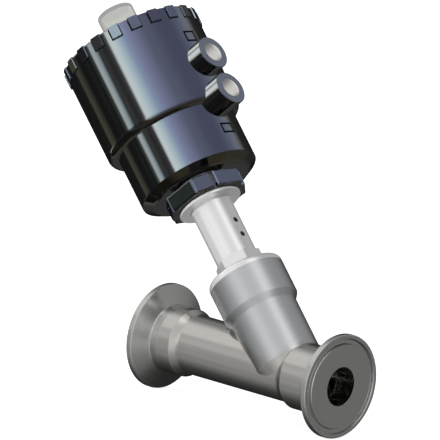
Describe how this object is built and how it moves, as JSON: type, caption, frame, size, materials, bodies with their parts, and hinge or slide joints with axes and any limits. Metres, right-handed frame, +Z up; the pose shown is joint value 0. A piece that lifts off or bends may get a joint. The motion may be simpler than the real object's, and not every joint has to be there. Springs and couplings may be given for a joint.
{
  "type": "pneumatic seat valve",
  "caption": "Slanted-seat process valve with clamp ends, long bonnet neck and a piston drive that springs closed; air lifts the plug and a clear cap shows its position.",
  "frame": {"origin": "centre of the clamp face of port 1", "axes": "+X along the pipe from port 1 to port 2, +Z up; the branch leans back over port 1 in the XZ plane"},
  "size_m": [0.185, 0.0696, 0.1803],
  "materials": {
    "cast_steel": "fine satin, cast and polished",
    "polished_steel": "fine turned finish",
    "satin_steel": "bead-blasted satin",
    "turned_steel": "turned",
    "ground_steel": "ground and polished",
    "spring_steel": "drawn wire",
    "guide_bronze": "sintered",
    "white_seal": "smooth, waxy",
    "black_rubber": "matt",
    "black_plastic": "glossy moulded",
    "grey_plastic": "moulded, glass filled",
    "signal_plastic": "moulded",
    "clear_plastic": "clear moulded cap",
    "port_metal": "plated, threaded"
  },
  "bodies": {
    "valve": {"valve_body": "cast_steel", "port_1_ferrule": "polished_steel", "port_2_ferrule": "polished_steel", "bonnet": "satin_steel", "bonnet_gasket": "white_seal", "packing_circlip": "spring_steel", "lower_guide_bush": "guide_bronze", "packing_lower_ring": "turned_steel", "chevron_ring_1": "white_seal", "chevron_ring_2": "white_seal", "chevron_ring_3": "white_seal", "chevron_ring_4": "white_seal", "packing_upper_ring": "turned_steel", "packing_spring": "spring_steel", "upper_guide_bush": "guide_bronze", "rod_seal": "black_rubber", "rod_seal_washer": "turned_steel", "rod_seal_circlip": "spring_steel", "thrust_washer": "white_seal", "swivel_washer": "turned_steel", "swivel_nut": "turned_steel", "swivel_o_ring": "black_rubber"},
    "actuator": {"actuator_housing": "black_plastic", "lower_port_insert": "port_metal", "upper_port_insert": "port_metal", "housing_cover": "black_plastic", "cover_o_ring": "black_rubber", "indicator_cap": "clear_plastic", "cap_o_ring": "black_rubber", "outer_closing_spring": "spring_steel", "inner_closing_spring": "spring_steel"},
    "stem": {"spindle": "ground_steel", "plug": "turned_steel", "plug_seal": "white_seal", "seal_retainer": "turned_steel", "plug_pin": "turned_steel", "plug_nut": "turned_steel", "piston": "grey_plastic", "piston_seal": "black_rubber", "piston_guide_band": "white_seal", "piston_o_ring": "black_rubber", "piston_washer": "turned_steel", "piston_nut": "turned_steel", "position_indicator": "signal_plastic"}
  },
  "joints": [
    {"name": "stem_slide", "type": "slide", "parent": "valve", "child": "stem", "axis": [-0.7071, 0, 0.7071], "range_m": [0, 0.008], "stiffness_N_per_m": 6000, "springref_m": -0.005, "deforming": ["outer_closing_spring", "inner_closing_spring"]},
    {"name": "actuator_swivel", "type": "hinge", "parent": "valve", "child": "actuator", "pos_m": [0.0845, 0, 0], "axis": [-0.7071, 0, 0.7071], "continuous": true}
  ]
}
